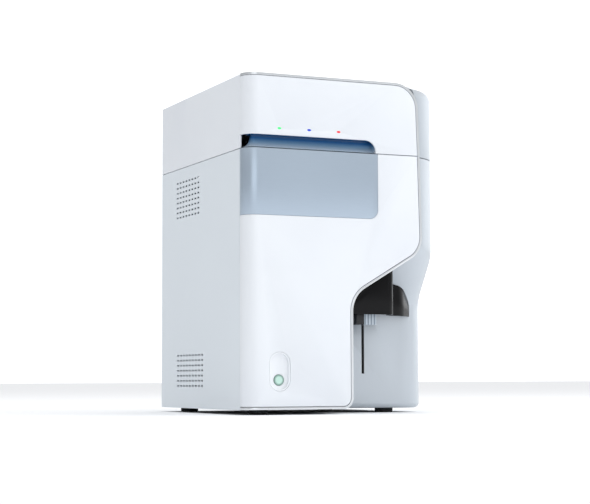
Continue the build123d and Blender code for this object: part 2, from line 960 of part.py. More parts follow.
# Button pocket: a stadium-shaped dish let into the front cover, with a flange behind
# the wall and a collar that guides the button.
with BuildPart() as button_bezel:
    with BuildSketch(facing(bezel_face)):
        with Locations((pocket_x, pocket_z)):
            SlotOverall(pocket_height, pocket_width, rotation=90)
    extrude(amount=-(pocket_floor + sheet - bezel_face))
    with BuildSketch(facing(wall)):
        with Locations((pocket_x, pocket_z)):
            SlotOverall(pocket_height + bezel_flange, pocket_width + bezel_flange, rotation=90)
    extrude(amount=-sheet)
    with BuildSketch(facing(0)):
        with Locations((pocket_x, pocket_z)):
            SlotOverall(pocket_height - 2 * bezel_rim, pocket_width - 2 * bezel_rim, rotation=90)
    extrude(amount=-pocket_floor, mode=Mode.SUBTRACT)
    bar_y(button_x, button_z, button_radius + fit_gap + collar_wall, (pocket_floor, switch_front))
    bar_y(button_x, button_z, button_radius + fit_gap, (pocket_floor - 1, switch_front + 1), Mode.SUBTRACT)
button_bezel.part.label = "button_bezel"
export_step(button_bezel.part, "parts/button_bezel.step")

with BuildPart() as power_button:
    bar_y(button_x, button_z, button_radius, (button_face, button_face + button_length))
    fillet(power_button.edges().group_by(Axis.Y)[0], button_edge)
power_button.part.label = "power_button"
export_step(power_button.part, "parts/power_button.step")

with BuildPart() as power_switch:
    slab(
        span(button_x, switch_size),
        (switch_front, switch_front + switch_depth),
        span(button_z, switch_size),
    )
    for shift in (-pin_pitch, pin_pitch):
        slab(
            span(button_x + shift, pin_size[0]),
            (switch_front + switch_depth, switch_front + switch_depth + pin_pitch),
            span(button_z, pin_size[1]),
        )
power_switch.part.label = "power_switch"
export_step(power_switch.part, "parts/power_switch.step")

# Probe hood: a black skirt with a rounded corner, a groove and a flared wing, open
# below and cut to the slope of the silver cover.
with BuildPart() as probe_cover:
    with BuildSketch(level(hood_bottom)) as hood_plan:
        with BuildLine():
            edge = FilletPolyline(
                (bay_edge + hood_start, hood_back),
                (bay_edge + hood_start, hood_front),
                (probe_x + hood_corner_reach, hood_front),
                (probe_x + hood_groove_reach, hood_groove_y),
                (probe_x + hood_shoulder_reach, hood_shoulder_y),
                (probe_x + hood_wing_reach, hood_wing_y),
                (probe_x + hood_wing_reach, hood_back),
                radius=list(hood_bends),
            )
            Line(edge @ 1, edge @ 0)
        make_face()
    extrude(amount=hood_top - hood_bottom)
    with BuildSketch(level(hood_bottom - 1)):
        add(hood_plan.sketch_local)
        offset(amount=-hood_wall)
    extrude(amount=hood_top - hood_bottom - hood_wall + 1, mode=Mode.SUBTRACT)
    add(right_form(-fit_gap), mode=Mode.SUBTRACT)
    with BuildSketch(facing(0)):
        add(lower_outline(trim_reach + fit_gap))
    extrude(amount=-body_depth, mode=Mode.SUBTRACT)
probe_cover.part.label = "probe_cover"
export_step(probe_cover.part, "parts/probe_cover.step")

# Wash block: hangs from a tongue that runs back to the drive's frame.
with BuildPart() as wash_block:
    slab(
        span(probe_x, wash_width),
        span(probe_y, wash_depth),
        (wash_bottom, wash_bottom + wash_height),
    )
    slab(
        (probe_x + tongue_shift, probe_x + tongue_shift + tongue_width),
        (probe_y, drive_back - wall),
        (wash_bottom + wash_height - wall - tongue_height, wash_bottom + wash_height - wall),
    )
    bar_z(
        probe_x,
        probe_y,
        probe_radius + wash_clearance,
        (wash_bottom - 1, wash_bottom + wash_height + 1),
        Mode.SUBTRACT,
    )
wash_block.part.label = "wash_block"
export_step(wash_block.part, "parts/wash_block.step")

# Probe: a fine tube through the wash block, with a nut on top of the carriage's arm.
with BuildPart() as sample_probe:
    bar_z(probe_x, probe_y, probe_radius, (probe_tip, probe_top))
    with BuildSketch(level(arm_bottom + arm_height)):
        with Locations((probe_x, probe_y)):
            RegularPolygon(probe_nut / 2, 6, major_radius=False)
    extrude(amount=probe_top - arm_bottom - arm_height)
    bar_z(probe_x, probe_y, probe_bore, (probe_tip - 1, probe_top + 1), Mode.SUBTRACT)
sample_probe.part.label = "sample_probe"
export_step(sample_probe.part, "parts/sample_probe.step")

# Probe drive: a bent frame with two flanges, two guide rods, a screw and its motor.
with BuildPart() as drive_frame:
    slab((drive_left, drive_right), (drive_back - wall, drive_back), (tray_top, drive_high + drive_flange))
    for z in (drive_low, drive_high):
        slab((drive_left, drive_right), (drive_front, drive_back - wall), (z, z + drive_flange))
        bar_z(probe_x, rod_y, screw_radius + running_gap, (z - 1, z + drive_flange + 1), Mode.SUBTRACT)
drive_frame.part.label = "drive_frame"
export_step(drive_frame.part, "parts/drive_frame.step")

with BuildPart() as guide_rods:
    for x in span(probe_x, rod_spacing):
        bar_z(x, rod_y, rod_radius, (drive_low + drive_flange, drive_high))
guide_rods.part.label = "guide_rods"
export_step(guide_rods.part, "parts/guide_rods.step")

with BuildPart() as drive_motor:
    slab(span(probe_x, motor_size), span(rod_y, motor_size), (drive_low - motor_length, drive_low))
    chamfer(drive_motor.edges().filter_by(Axis.Z), motor_chamfer)
    bar_z(probe_x, rod_y, screw_radius + fit_gap, (drive_low - motor_socket, drive_low + 1), Mode.SUBTRACT)
drive_motor.part.label = "drive_motor"
export_step(drive_motor.part, "parts/drive_motor.step")

with BuildPart() as drive_screw:
    bar_z(
        probe_x,
        rod_y,
        screw_radius,
        (drive_low - motor_socket + fit_gap, drive_high + drive_flange),
    )
drive_screw.part.label = "drive_screw"
export_step(drive_screw.part, "parts/drive_screw.step")

# Carriage: a block on the rods with an arm that carries the probe out over the bay.
with BuildPart() as probe_carriage:
    slab(
        span(probe_x, carriage_width),
        span(rod_y, carriage_depth),
        (carriage_bottom, carriage_bottom + carriage_height),
    )
    slab(
        span(probe_x, arm_width),
        (probe_y - arm_nose, rod_y - carriage_depth / 2),
        (arm_bottom, arm_bottom + arm_height),
    )
    for x in span(probe_x, rod_spacing):
        bar_z(x, rod_y, rod_radius + running_gap, (carriage_bottom - 1, drive_high), Mode.SUBTRACT)
    bar_z(probe_x, rod_y, screw_radius + running_gap, (carriage_bottom - 1, drive_high), Mode.SUBTRACT)
    bar_z(probe_x, probe_y, probe_radius + running_gap, (carriage_bottom, drive_high), Mode.SUBTRACT)
probe_carriage.part.label = "probe_carriage"
export_step(probe_carriage.part, "parts/probe_carriage.step")

# Optics: a thick bench on the deck, with tapped holes along its edges.
with BuildPart() as optical_bench:
    slab((bench_left, bench_right), (bench_front, bench_back), (bench_bottom, bench_top))
    bench_x = left + (bench_left + bench_right) / 2
    bench_y = front + (bench_front + bench_back) / 2
    with Locations((bench_x, bench_y, bench_top)):
        with GridLocations(bench_right - bench_left - 2 * bench_inset, bench_hole_pitch, 2, bench_hole_rows):
            Hole(bench_hole, bench_thickness)
optical_bench.part.label = "optical_bench"
export_step(optical_bench.part, "parts/optical_bench.step")

# Laser: a block with cooling fins on top and a round nose on the beam's line.
with BuildPart() as laser_module:
    slab(
        span(beam_x, laser_width),
        (laser_front, laser_front + laser_length),
        (bench_top, bench_top + laser_height),
    )
    fin_pitch = laser_width / fin_count
    for index in range(fin_count - 1):
        x = beam_x - laser_width / 2 + (index + 1) * fin_pitch
        slab(
            span(x, fin_gap),
            (laser_front - 1, laser_front + laser_length + 1),
            (bench_top + laser_height - fin_height, bench_top + laser_height + 1),
            Mode.SUBTRACT,
        )
    bar_y(
        beam_x,
        beam_height,
        laser_nose,
        (laser_front + laser_length, laser_front + laser_length + laser_nose_length),
    )
laser_module.part.label = "laser_module"
export_step(laser_module.part, "parts/laser_module.step")

# Lens mounts: bored plates on feet, two across the beam and one beside it.
with BuildPart() as lens_mounts:
    for y in (first_lens_y, second_lens_y):
        slab(span(beam_x, mount_width), span(y, mount_thickness), (bench_top, bench_top + mount_height))
        slab(
            span(beam_x, mount_width),
            span(y, mount_thickness + 2 * mount_foot),
            (bench_top, bench_top + mount_foot),
        )
        bar_y(beam_x, beam_height, lens_radius + running_gap, span(y, mount_thickness + 2), Mode.SUBTRACT)
    slab(
        span(side_lens_x, mount_thickness),
        span(cell_y, mount_width),
        (bench_top, bench_top + mount_height),
    )
    slab(
        span(side_lens_x, mount_thickness + 2 * mount_foot),
        span(cell_y, mount_width),
        (bench_top, bench_top + mount_foot),
    )
    bar_x(
        cell_y,
        beam_height,
        lens_radius + running_gap,
        span(side_lens_x, mount_thickness + 2),
        Mode.SUBTRACT,
    )
lens_mounts.part.label = "lens_mounts"
export_step(lens_mounts.part, "parts/lens_mounts.step")

with BuildPart() as lenses:
    for y in (first_lens_y, second_lens_y):
        bar_y(beam_x, beam_height, lens_radius, span(y, lens_thickness))
    bar_x(cell_y, beam_height, lens_radius, span(side_lens_x, lens_thickness))
lenses.part.label = "lenses"
export_step(lenses.part, "parts/lenses.step")

# Flow cell: a square glass column with a fine bore, standing in a bored holder.
with BuildPart() as flow_cell_holder:
    slab(
        span(beam_x, holder_width),
        span(cell_y, holder_width),
        (bench_top, bench_top + holder_seat + holder_height),
    )
    slab(
        span(beam_x, cell_width + 2 * running_gap),
        span(cell_y, cell_width + 2 * running_gap),
        (bench_top + holder_seat, bench_top + holder_seat + holder_height + 1),
        Mode.SUBTRACT,
    )
flow_cell_holder.part.label = "flow_cell_holder"
export_step(flow_cell_holder.part, "parts/flow_cell_holder.step")

with BuildPart() as flow_cell:
    slab(
        span(beam_x, cell_width),
        span(cell_y, cell_width),
        (bench_top + holder_seat, bench_top + holder_seat + cell_height),
    )
    bar_z(beam_x, cell_y, cell_bore, (bench_top, bench_top + cell_height + 2 * holder_seat), Mode.SUBTRACT)
flow_cell.part.label = "flow_cell"
export_step(flow_cell.part, "parts/flow_cell.step")

# Detectors: round bodies on square bases, one on the beam and one beside the cell.
with BuildPart() as scatter_detector:
    bar_y(beam_x, beam_height, detector_radius, (detector_front, detector_front + detector_length))
    slab(
        span(beam_x, detector_base),
        (detector_front, detector_front + detector_length),
        (bench_top, beam_height),
    )
    bar_y(beam_x, beam_height, detector_eye, (detector_front - 1, detector_front + sheet), Mode.SUBTRACT)
scatter_detector.part.label = "scatter_detector"
export_step(scatter_detector.part, "parts/scatter_detector.step")

with BuildPart() as side_detector:
    bar_x(cell_y, beam_height, detector_radius, (side_detector_x, side_detector_x + side_detector_length))
    slab(
        (side_detector_x, side_detector_x + side_detector_length),
        span(cell_y, detector_base),
        (bench_top, beam_height),
    )
    bar_x(cell_y, beam_height, detector_eye, (side_detector_x - 1, side_detector_x + sheet), Mode.SUBTRACT)
side_detector.part.label = "side_detector"
export_step(side_detector.part, "parts/side_detector.step")

# Syringes: a frame with a head block and a low flange, two glass barrels, a pair of
# plungers on one bar, and the screw that drives the bar.
with BuildPart() as syringe_frame:
    slab(
        (syringe_left, syringe_right),
        (syringe_plate_y, syringe_plate_y + wall),
        (tray_top, syringe_high + syringe_block),
    )
    slab(
        (syringe_left, syringe_right),
        (syringe_front, syringe_plate_y),
        (syringe_high, syringe_high + syringe_block),
    )
    slab(
        (syringe_left, syringe_right),
        (syringe_front, syringe_plate_y),
        (syringe_low, syringe_low + syringe_flange),
    )
    bar_z(
        syringe_x,
        barrel_y,
        screw_radius + running_gap,
        (syringe_low - 1, syringe_high + syringe_block / 2),
        Mode.SUBTRACT,
    )
    for x in span(syringe_x, barrel_spacing):
        bar_z(x, barrel_y, port_bore, (syringe_high - 1, syringe_high + syringe_block + 1), Mode.SUBTRACT)
syringe_frame.part.label = "syringe_frame"
export_step(syringe_frame.part, "parts/syringe_frame.step")

with BuildPart() as syringe_barrels:
    for x in span(syringe_x, barrel_spacing):
        bar_z(x, barrel_y, barrel_radius, (syringe_high - barrel_length, syringe_high))
        bar_z(
            x,
            barrel_y,
            barrel_bore,
            (syringe_high - barrel_length - 1, syringe_high + 1),
            Mode.SUBTRACT,
        )
syringe_barrels.part.label = "syringe_barrels"
export_step(syringe_barrels.part, "parts/syringe_barrels.step")

with BuildPart() as syringe_plungers:
    slab(
        span(syringe_x, barrel_spacing + bar_depth),
        span(barrel_y, bar_depth),
        (bar_top - bar_height, bar_top),
    )
    bar_z(
        syringe_x,
        barrel_y,
        screw_radius + running_gap,
        (bar_top - bar_height - 1, bar_top + 1),
        Mode.SUBTRACT,
    )
    for x in span(syringe_x, barrel_spacing):
        bar_z(x, barrel_y, plunger_rod, (bar_top, plunger_top))
        bar_z(x, barrel_y, barrel_bore - plunger_gap, (plunger_top - plunger_head, plunger_top))
syringe_plungers.part.label = "syringe_plungers"
export_step(syringe_plungers.part, "parts/syringe_plungers.step")

with BuildPart() as syringe_screw:
    bar_z(
        syringe_x,
        barrel_y,
        screw_radius,
        (syringe_low - motor_socket + fit_gap, syringe_high + syringe_block / 2 - fit_gap),
    )
syringe_screw.part.label = "syringe_screw"
export_step(syringe_screw.part, "parts/syringe_screw.step")

with BuildPart() as syringe_motor:
    slab(span(syringe_x, motor_size), span(barrel_y, motor_size), (syringe_low - motor_length, syringe_low))
    chamfer(syringe_motor.edges().filter_by(Axis.Z), motor_chamfer)
    bar_z(
        syringe_x,
        barrel_y,
        screw_radius + fit_gap,
        (syringe_low - motor_socket, syringe_low + 1),
        Mode.SUBTRACT,
    )
syringe_motor.part.label = "syringe_motor"
export_step(syringe_motor.part, "parts/syringe_motor.step")

# Fluid plate: an upright sheet from the tray to the deck, with a hole for the pump's shaft.
with BuildPart() as fluid_plate:
    slab((plate_left, plate_right), (plate_y, plate_back), (tray_top, deck_height))
    bar_y(pump_x, pump_z, shaft_hole, (plate_y - 1, plate_back + 1), Mode.SUBTRACT)
fluid_plate.part.label = "fluid_plate"
export_step(fluid_plate.part, "parts/fluid_plate.step")

with BuildPart() as valve_manifold:
    slab(
        (plate_left + manifold_margin, plate_right - manifold_margin),
        (plate_y - manifold_depth, plate_y),
        (manifold_bottom, manifold_bottom + manifold_height),
    )
    for index in range(valve_count):
        bar_z(
            valve_start + index * valve_pitch,
            plate_y - manifold_depth / 2,
            port_bore,
            (manifold_bottom + manifold_height / 2, manifold_bottom + manifold_height + 1),
            Mode.SUBTRACT,
        )
valve_manifold.part.label = "valve_manifold"
export_step(valve_manifold.part, "parts/valve_manifold.step")

with BuildPart() as solenoid_valves:
    for index in range(valve_count):
        x = valve_start + index * valve_pitch
        z = manifold_bottom + manifold_height / 2
        valve_face = plate_y - manifold_depth
        bar_y(x, z, valve_radius, (valve_face - valve_length, valve_face))
        bar_y(x, z, valve_radius / 2, (valve_face - valve_length - valve_cap, valve_face - valve_length))
solenoid_valves.part.label = "solenoid_valves"
export_step(solenoid_valves.part, "parts/solenoid_valves.step")

# Mixing chambers: open cups with conical bottoms and drains, on tabs from the plate.
with BuildPart() as mixing_chambers:
    chamber_y = plate_y - chamber_standoff - chamber_radius
    for index in range(chamber_count):
        x = (plate_left + plate_right) / 2 + (index - (chamber_count - 1) / 2) * chamber_pitch
        bar_z(x, chamber_y, chamber_radius, (chamber_bottom, chamber_bottom + chamber_height))
        with Locations((left + x, front + chamber_y, chamber_bottom - chamber_cone / 2)):
            Cone(chamber_drain, chamber_radius, chamber_cone)
        bar_z(x, chamber_y, chamber_drain, (chamber_bottom - 2 * chamber_cone, chamber_bottom))
        slab(
            span(x, chamber_radius),
            (chamber_y, plate_y),
            (chamber_bottom + chamber_radius, chamber_bottom + chamber_height - chamber_radius),
        )
        bar_z(
            x,
            chamber_y,
            chamber_radius - chamber_wall,
            (chamber_bottom, chamber_bottom + chamber_height + 1),
            Mode.SUBTRACT,
        )
mixing_chambers.part.label = "mixing_chambers"
export_step(mixing_chambers.part, "parts/mixing_chambers.step")

# Pump: a housing with a round cavity, a bent tube along its wall, a rotor with
# rollers on a shaft, and the motor behind the plate.
with BuildPart() as pump_housing:
    slab(span(pump_x, pump_size), (plate_y - pump_depth, plate_y), span(pump_z, pump_size))
    bar_y(pump_x, pump_z, pump_cavity, (plate_y - pump_depth - 1, plate_y - pump_back), Mode.SUBTRACT)
    bar_y(pump_x, pump_z, shaft_hole, (plate_y - pump_depth, plate_y + 1), Mode.SUBTRACT)
    for x in span(pump_x, 2 * tube_orbit):
        slab(
            span(x, 2 * (tube_radius + fit_gap)),
            (plate_y - pump_depth - 1, tube_y + tube_radius + fit_gap),
            (pump_z - pump_size, pump_z),
            Mode.SUBTRACT,
        )
pump_housing.part.label = "pump_housing"
export_step(pump_housing.part, "parts/pump_housing.step")

with BuildPart() as pump_tube:
    with BuildLine(facing(tube_y)) as tube_path:
        bend = CenterArc((pump_x, pump_z), tube_orbit, 0, 180)
        Line((pump_x + tube_orbit, pump_z), (pump_x + tube_orbit, tube_end))
        Line((pump_x - tube_orbit, pump_z), (pump_x - tube_orbit, tube_end))
    with BuildSketch(level(tube_end)):
        with Locations((pump_x + tube_orbit, tube_y)):
            Circle(tube_radius)
            Circle(tube_bore, mode=Mode.SUBTRACT)
    sweep(path=tube_path.line)
pump_tube.part.label = "pump_tube"
export_step(pump_tube.part, "parts/pump_tube.step")

with BuildPart() as pump_rotor:
    for y in (tube_y - roller_length / 2 - rotor_plate, tube_y + roller_length / 2):
        bar_y(pump_x, pump_z, rotor_plate_radius, (y, y + rotor_plate))
    bar_y(
        pump_x,
        pump_z,
        rotor_shaft,
        (tube_y - roller_length / 2, plate_back + motor_socket - fit_gap),
    )
    with Locations(Location((left + pump_x, front + tube_y, pump_z), (90, 0, 0))):
        with PolarLocations(roller_orbit, roller_count):
            Cylinder(roller_radius, roller_length)
pump_rotor.part.label = "pump_rotor"
export_step(pump_rotor.part, "parts/pump_rotor.step")

with BuildPart() as pump_motor:
    bar_y(pump_x, pump_z, pump_motor_radius, (plate_back, plate_back + pump_motor_length))
    bar_y(
        pump_x,
        pump_z,
        rotor_shaft + running_gap,
        (plate_back - 1, plate_back + motor_socket),
        Mode.SUBTRACT,
    )
pump_motor.part.label = "pump_motor"
export_step(pump_motor.part, "parts/pump_motor.step")

# Power supply: a folded box with slots in its top.
with BuildPart() as power_supply:
    slab((supply_left, supply_right), (supply_front, supply_back), (tray_top, tray_top + supply_height))
    with BuildSketch(level(tray_top + supply_height)):
        with Locations(((supply_left + supply_right) / 2, (supply_front + supply_back) / 2)):
            with GridLocations(0, 2 * sheet + wall, 1, supply_slots):
                Rectangle(supply_right - supply_left - 4 * wall, sheet)
    extrude(amount=-sheet, mode=Mode.SUBTRACT)
power_supply.part.label = "power_supply"
export_step(power_supply.part, "parts/power_supply.step")

# Main board: upright on four spacers from the left side, with its larger components.
with BuildPart() as main_board:
    slab(
        (board_x, board_x + board_thickness),
        (main_board_front, main_board_back),
        (main_board_low, main_board_high),
    )
    for y in (main_board_front + spacer_inset, main_board_back - spacer_inset):
        for z in (main_board_low + spacer_inset, main_board_high - spacer_inset):
            bar_x(y, z, spacer_radius, (sheet, board_x))
    for y, z, length, tall, thick in board_components:
        slab(
            (board_x + board_thickness, board_x + board_thickness + thick),
            span(y, length),
            span(z, tall),
        )
main_board.part.label = "main_board"
export_step(main_board.part, "parts/main_board.step")

# Fan: a square frame against the rear panel, with a spider and a short shaft, and
# the rotor with its pitched blades.
with BuildPart() as fan_frame:
    slab(span(fan_x, fan_size), (rear_inner - fan_depth, rear_inner), span(fan_z, fan_size))
    fillet(fan_frame.edges().filter_by(Axis.Y), spacer_radius)
    bar_y(fan_x, fan_z, fan_bore, (rear_inner - fan_depth - 1, rear_inner + 1), Mode.SUBTRACT)
    for angle in (0, 90):
        with Locations(
            Location((left + fan_x, front + rear_inner - wall / 2, fan_z), (0, fan_spider_angle + angle, 0))
        ):
            Box(2 * fan_bore + wall, wall, fan_arm)
    bar_y(fan_x, fan_z, fan_boss, (rear_inner - 2 * wall, rear_inner))
    bar_y(fan_x, fan_z, fan_shaft, (fan_shaft_front, rear_inner - wall))
fan_frame.part.label = "fan_frame"
export_step(fan_frame.part, "parts/fan_frame.step")

with BuildPart() as fan_rotor:
    bar_y(fan_x, fan_z, fan_hub, (fan_hub_front, fan_hub_front + fan_hub_length))
    with Locations(
        Location((left + fan_x, front + fan_hub_front + fan_hub_length / 2, fan_z), (90, 0, 0))
    ):
        with PolarLocations((fan_hub + fan_blade_tip) / 2 - wall / 2, fan_blades):
            Box(
                fan_blade_tip - fan_hub + wall,
                fan_blade_chord,
                fan_blade_thickness,
                rotation=(fan_blade_pitch, 0, 0),
            )
    bar_y(
        fan_x,
        fan_z,
        fan_shaft + running_gap,
        (fan_shaft_front - fit_gap, fan_hub_front + fan_hub_length + 1),
        Mode.SUBTRACT,
    )
fan_rotor.part.label = "fan_rotor"
export_step(fan_rotor.part, "parts/fan_rotor.step")

# Mains inlet: a flanged body with an open mouth and three flat pins.
with BuildPart() as mains_inlet:
    slab(
        span(inlet_x, inlet_flange[0]),
        (body_depth, body_depth + sheet),
        span(inlet_z, inlet_flange[1]),
    )
    slab(
        span(inlet_x, inlet_body[0]),
        (body_depth - inlet_depth - sheet, body_depth),
        span(inlet_z, inlet_body[1]),
    )
    slab(
        span(inlet_x, inlet_cavity[0]),
        (body_depth + sheet - inlet_depth, body_depth + sheet + 1),
        span(inlet_z, inlet_cavity[1]),
        Mode.SUBTRACT,
    )
    for x, z in inlet_pins:
        slab(
            span(inlet_x + x, pin_size[0]),
            (body_depth + sheet - inlet_depth, body_depth + sheet - inlet_depth + pin_length),
            span(inlet_z + z, pin_size[1]),
        )
mains_inlet.part.label = "mains_inlet"
export_step(mains_inlet.part, "parts/mains_inlet.step")

# Data port: a square shell with a tongue in its mouth.
with BuildPart() as data_port:
    slab(
        span(data_x, data_body),
        (body_depth - data_depth - sheet, body_depth + fit_gap),
        span(data_z, data_body),
    )
    slab(
        span(data_x, data_cavity),
        (body_depth + fit_gap - data_depth, body_depth + 1),
        span(data_z, data_cavity),
        Mode.SUBTRACT,
    )
    slab(
        span(data_x, data_tongue[0]),
        (body_depth + fit_gap - data_depth, body_depth + fit_gap - data_depth + data_tongue[2]),
        (data_z - data_cavity / 2, data_z - data_cavity / 2 + data_tongue[1]),
    )
data_port.part.label = "data_port"
export_step(data_port.part, "parts/data_port.step")

# Hose ports: bored stubs through the rear panel, with a flange outside and a nut inside.
with BuildPart() as fluid_ports:
    for x in port_stations:
        bar_y(x, port_z, port_thread, (rear_inner - port_flange, body_depth))
        bar_y(x, port_z, port_flange, (body_depth, body_depth + port_flange_thickness))
        bar_y(x, port_z, port_radius, (body_depth, body_depth + rear_reach))
        with BuildSketch(facing(rear_inner)):
            with Locations((x, port_z)):
                RegularPolygon(port_flange, 6, major_radius=False)
        extrude(amount=port_thread)
        bar_y(
            x,
            port_z,
            port_bore,
            (rear_inner - 2 * port_flange, body_depth + rear_reach + 1),
            Mode.SUBTRACT,
        )
fluid_ports.part.label = "fluid_ports"
export_step(fluid_ports.part, "parts/fluid_ports.step")

# Hinges: a leaf with two knuckles on the body, a leaf with one knuckle on the lid,
# and a pin through both.
with BuildPart() as hinge_body_leaves:
    for x in hinge_stations:
        slab(
            (x, x + hinge_length),
            (body_depth, body_depth + leaf_thickness),
            (seam_height - leaf_clear - leaf_height, seam_height - leaf_clear),
        )
        for start in (x, x + hinge_length - knuckle_share):
            slab(
                (start, start + knuckle_share),
                (body_depth, body_depth + leaf_thickness),
                (seam_height - leaf_clear, seam_height),
            )
            bar_x(hinge_y, seam_height, knuckle_radius, (start, start + knuckle_share))
            bar_x(hinge_y, seam_height, hinge_pin, (start - 1, start + knuckle_share + 1), Mode.SUBTRACT)
    for x in hinge_stations:
        bar_x(hinge_y, seam_height, hinge_pin - running_gap, (x, x + hinge_length))
hinge_body_leaves.part.label = "hinge_body_leaves"
export_step(hinge_body_leaves.part, "parts/hinge_body_leaves.step")

with BuildPart() as hinge_lid_leaves:
    for x in hinge_stations:
        middle = (x + knuckle_share + knuckle_gap, x + hinge_length - knuckle_share - knuckle_gap)
        slab(
            (x, x + hinge_length),
            (body_depth, body_depth + leaf_thickness),
            (seam_height + leaf_clear, seam_height + leaf_clear + leaf_height),
        )
        slab(middle, (body_depth, body_depth + leaf_thickness), (seam_height, seam_height + leaf_clear))
        bar_x(hinge_y, seam_height, knuckle_radius, middle)
        bar_x(hinge_y, seam_height, hinge_pin, (x, x + hinge_length), Mode.SUBTRACT)
hinge_lid_leaves.part.label = "hinge_lid_leaves"
export_step(hinge_lid_leaves.part, "parts/hinge_lid_leaves.step")

# Screws that hold the rear panel to the rear posts.
with BuildPart() as cover_screws:
    for x, z in screw_places:
        bar_y(x, z, screw_head, (body_depth, body_depth + screw_height))
        bar_y(x, z, shank_radius, (body_depth - screw_length, body_depth))
cover_screws.part.label = "cover_screws"
export_step(cover_screws.part, "parts/cover_screws.step")
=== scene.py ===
import json
import math

import bpy
from mathutils import Matrix, Vector

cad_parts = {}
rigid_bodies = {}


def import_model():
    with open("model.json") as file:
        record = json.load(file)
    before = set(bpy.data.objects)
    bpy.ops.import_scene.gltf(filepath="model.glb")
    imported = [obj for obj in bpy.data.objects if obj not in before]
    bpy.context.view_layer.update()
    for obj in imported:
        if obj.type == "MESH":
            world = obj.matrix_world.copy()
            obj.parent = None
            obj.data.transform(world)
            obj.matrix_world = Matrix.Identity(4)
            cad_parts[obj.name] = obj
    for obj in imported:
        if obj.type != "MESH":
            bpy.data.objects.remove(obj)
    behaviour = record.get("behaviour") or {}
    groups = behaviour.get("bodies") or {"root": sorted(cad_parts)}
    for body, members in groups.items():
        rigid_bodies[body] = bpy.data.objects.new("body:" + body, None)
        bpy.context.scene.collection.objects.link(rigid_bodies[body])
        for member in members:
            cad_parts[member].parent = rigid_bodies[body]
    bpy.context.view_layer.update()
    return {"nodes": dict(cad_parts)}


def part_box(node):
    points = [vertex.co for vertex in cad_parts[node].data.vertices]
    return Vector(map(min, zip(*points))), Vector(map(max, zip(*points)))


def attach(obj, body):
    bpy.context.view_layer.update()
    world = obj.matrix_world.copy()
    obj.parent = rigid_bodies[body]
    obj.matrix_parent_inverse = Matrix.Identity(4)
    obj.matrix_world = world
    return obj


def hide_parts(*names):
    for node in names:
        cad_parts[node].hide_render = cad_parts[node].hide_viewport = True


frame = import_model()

nodes = frame["nodes"]

# Studio: a pale floor, an even white surround and soft lamps, with the camera where
# the picture was taken from, near the bench and a little left of the front.
view_place = (-1.063, -2.374, 0.051)
view_yaw = math.radians(-23.99)
view_pitch = math.radians(4.49)
view_roll = math.radians(-0.20)
view_lens = 99.3
sensor_width = 36.0
nearest, farthest = 0.05, 200.0


def srgb(code):
    """An sRGB hex colour as the linear colour that shaders and lamps take."""
    parts = [int(code[i:i + 2], 16) / 255 for i in (1, 3, 5)]
    linear = [p / 12.92 if p <= 0.04045 else ((p + 0.055) / 1.055) ** 2.4 for p in parts]
    return (*linear, 1.0)


def add(tree, kind, inputs=None, **settings):
    """One shader node, its settings, and its inputs as values or as links."""
    node = tree.nodes.new("ShaderNode" + kind)
    for name, value in settings.items():
        setattr(node, name, value)
    for name, value in (inputs or {}).items():
        if isinstance(value, bpy.types.NodeSocket):
            tree.links.new(value, node.inputs[name])
        else:
            node.inputs[name].default_value = value
    return node


camera = bpy.data.objects.new("camera", bpy.data.cameras.new("camera"))
bpy.context.scene.collection.objects.link(camera)
camera.data.lens = view_lens
camera.data.sensor_width = sensor_width
camera.data.clip_start = nearest
camera.data.clip_end = farthest
camera.matrix_world = (
    Matrix.Translation(view_place)
    @ Matrix.Rotation(view_yaw, 4, "Z")
    @ Matrix.Rotation(math.radians(90) + view_pitch, 4, "X")
    @ Matrix.Rotation(view_roll, 4, "Z")
)
bpy.context.scene.camera = camera
bpy.context.scene.view_settings.view_transform = "Standard"

# The surround is a light tent: a white background, one soft panel in front, and greyer
# flags at the left and beside the panel, which the metal and the gloss parts mirror.
tent_strength = 1.6
tent_tint = (0.97, 0.985, 1.0)
tent_stops = (
    (-180, 0.52), (-130, 0.52), (-122, 1.5), (-85, 1.5), (-78, 0.5), (-70, 0.5),
    (-67, 1.0), (-60, 1.05), (-50, 0.75), (-24, 0.75), (-5, 1.2), (10, 1.6),
    (85, 1.4), (108, 0.6), (116, 0.52), (180, 0.52),
)
roof_level = 0.85
roof_from, roof_full = 0.3, 0.55
world = bpy.data.worlds.new("surround")
bpy.context.scene.world = world
world.use_nodes = True
tree = world.node_tree
sky = add(tree, "SeparateXYZ", {"Vector": add(tree, "TexCoord").outputs["Generated"]})
turn = add(tree, "Math", {0: sky.outputs["Y"], 1: sky.outputs["X"]}, operation="ARCTAN2")
around = add(tree, "MapRange", {"Value": turn.outputs["Value"],
                                "From Min": -math.pi, "From Max": math.pi})
tent = add(tree, "ValToRGB", {"Fac": around.outputs["Result"]})
for index, (angle, level) in enumerate(tent_stops):
    spot = (angle + 180) / 360
    if index in (0, len(tent_stops) - 1):
        stop = tent.color_ramp.elements[0 if index == 0 else -1]
        stop.position = spot
    else:
        stop = tent.color_ramp.elements.new(spot)
    stop.color = (*(level / tent_strength * share for share in tent_tint), 1.0)
climb = add(tree, "MapRange", {"Value": sky.outputs["Z"],
                               "From Min": roof_from, "From Max": roof_full})
roof = roof_level / tent_strength
cover = add(tree, "MixRGB", {"Fac": climb.outputs["Result"], "Color1": tent.outputs["Color"],
                             "Color2": (roof, roof, roof, 1.0)})
tree.links.new(cover.outputs["Color"], tree.nodes["Background"].inputs["Color"])
tree.nodes["Background"].inputs["Strength"].default_value = tent_strength

